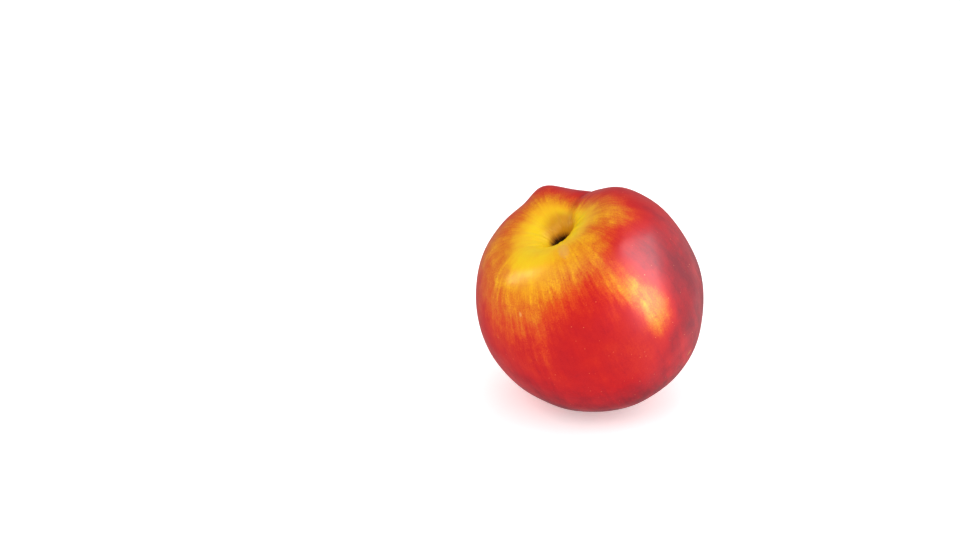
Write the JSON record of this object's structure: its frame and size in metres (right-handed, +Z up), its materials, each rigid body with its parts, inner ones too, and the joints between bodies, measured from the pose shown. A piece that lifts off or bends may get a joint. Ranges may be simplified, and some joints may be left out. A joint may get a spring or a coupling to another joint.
{
  "type": "nectarine",
  "caption": "Whole ripe nectarine lying on a small flat spot: smooth round stone fruit with a suture groove, a deep stem cavity and red blush over yellow.",
  "frame": {"origin": "middle of the flat spot that the fruit lies on, on the surface that carries it", "axes": "+Z up, away from the surface; the stem end leans up and towards -X, and the suture runs over the top towards +Y"},
  "size_m": [0.0692, 0.0682, 0.0668],
  "materials": {
    "skin": "smooth waxy fruit skin with a soft low gloss, deep red blush over orange and yellow, fine pale pores",
    "stem_scar": "dry corky brown scar where the stem broke off, dull and fibrous"
  },
  "bodies": {
    "root": {"nectarine": "skin"}
  },
  "joints": []
}
